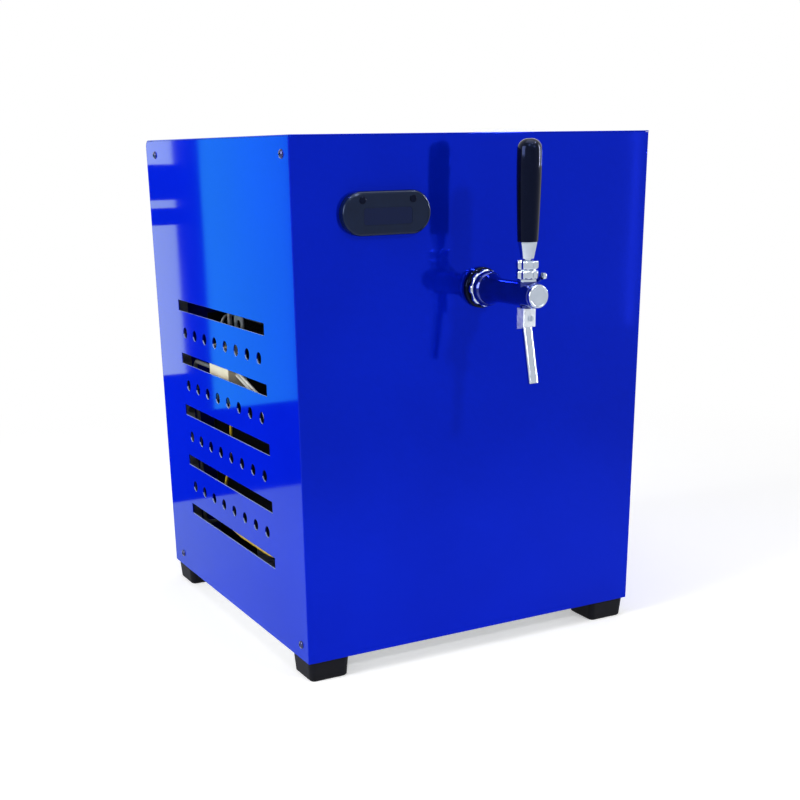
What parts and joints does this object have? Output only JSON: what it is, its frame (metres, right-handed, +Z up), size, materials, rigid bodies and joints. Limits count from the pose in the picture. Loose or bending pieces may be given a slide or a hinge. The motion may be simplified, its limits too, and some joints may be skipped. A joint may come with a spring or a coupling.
{
  "type": "countertop beer cooler",
  "caption": "Boxy counter-top beer cooler in glossy blue sheet metal, with a lever tap and spout on the front, a small thermostat, vented sides and rubber feet.",
  "frame": {"origin": "centre of the bounding box in plan, at the level the feet stand on", "axes": "+Z up, -Y to the front where the tap is, +Y to the back along the beer inlet, +X to the right seen from the front"},
  "size_m": [0.4014, 0.529, 0.522],
  "materials": {
    "blue_paint": "high-gloss blue paint",
    "galvanised": "galvanised sheet steel",
    "zinc_plated": "zinc-plated steel",
    "chrome": "polished chrome plating",
    "stainless": "stainless steel",
    "navy_plastic": "glossy navy plastic",
    "black_plastic": "glossy black plastic",
    "matt_black_plastic": "matt black plastic",
    "white_plastic": "white plastic",
    "cream_plastic": "cream plastic",
    "dark_lens": "dark red display window",
    "rubber": "black rubber",
    "foam": "rigid insulating foam",
    "aluminium": "bare aluminium",
    "copper": "bare copper pipe",
    "black_paint": "black enamel",
    "wire_white": "white insulation",
    "wire_yellow": "yellow insulation",
    "wire_grey": "grey insulation"
  },
  "bodies": {
    "cabinet": {"base_tray": "galvanised", "front_panel": "blue_paint", "left_side_panel": "blue_paint", "right_side_panel": "blue_paint", "rear_panel": "blue_paint", "top_cover": "blue_paint", "panel_screws": "zinc_plated", "feet": "rubber", "foot_screws": "zinc_plated", "tap_rosette": "black_plastic", "tap_coupling_ring": "chrome", "tap_shank": "stainless", "shank_washer": "stainless", "shank_nut": "stainless", "tap_body": "navy_plastic", "tap_front_cap": "chrome", "bonnet_nut": "chrome", "nozzle_elbow": "chrome", "nozzle_tube": "chrome", "nozzle_screw": "chrome", "thermostat_bezel": "black_plastic", "display_lens": "dark_lens", "thermostat_case": "matt_black_plastic", "beer_inlet_fitting": "stainless", "beer_inlet_nut": "stainless", "power_inlet": "matt_black_plastic", "corner_posts": "galvanised", "block_shelf": "galvanised", "cold_block": "aluminium", "foam_tray": "foam", "foam_lid": "foam", "beer_lines": "stainless", "compressor_shell": "black_paint", "compressor_mount": "black_paint", "compressor_grommets": "rubber", "compressor_bolts": "zinc_plated", "relay_cover": "white_plastic", "condenser_fins": "aluminium", "condenser_end_plates": "galvanised", "condenser_tubes": "copper", "fan_shroud": "galvanised", "fan_motor": "black_paint", "filter_drier": "copper", "refrigerant_pipes": "copper", "capillary_tube": "copper", "terminal_box": "cream_plastic", "terminal_strap": "galvanised", "white_wires": "wire_white", "yellow_wire": "wire_yellow", "inner_leads": "wire_grey"},
    "lever": {"lever_stem": "chrome", "handle_ferrule": "chrome", "tap_handle": "black_plastic"},
    "shuttle": {"valve_shuttle": "white_plastic", "shuttle_seal": "rubber"},
    "compensator": {"compensator_lever": "chrome"},
    "fan": {"fan_blade": "black_plastic"},
    "left_button": {"left_key": "black_plastic"},
    "right_button": {"right_key": "black_plastic"}
  },
  "joints": [
    {"name": "tap_lever", "type": "hinge", "parent": "cabinet", "child": "lever", "pos_m": [0, -0.2445, 0.4035], "axis": [1, 0, 0], "range_deg": [0, 18]},
    {"name": "valve_slide", "type": "slide", "parent": "cabinet", "child": "shuttle", "axis": [0, 1, 0], "range_m": [0, 0.0065]},
    {"name": "flow_compensator", "type": "hinge", "parent": "cabinet", "child": "compensator", "pos_m": [0, -0.2235, 0.3795], "axis": [1, 0, 0], "range_deg": [-60, 30]},
    {"name": "fan_spin", "type": "hinge", "parent": "cabinet", "child": "fan", "pos_m": [-0.1235, 0.068, 0.208], "axis": [1, 0, 0], "continuous": true},
    {"name": "left_key_press", "type": "slide", "parent": "cabinet", "child": "left_button", "axis": [0, 1, 0], "range_m": [0, 0.0008], "stiffness_N_per_m": 500},
    {"name": "right_key_press", "type": "slide", "parent": "cabinet", "child": "right_button", "axis": [0, 1, 0], "range_m": [0, 0.0008], "stiffness_N_per_m": 500}
  ],
  "couplings": [
    {"joint": "valve_slide", "follows": "tap_lever", "m_per_rad": 0.019}
  ]
}
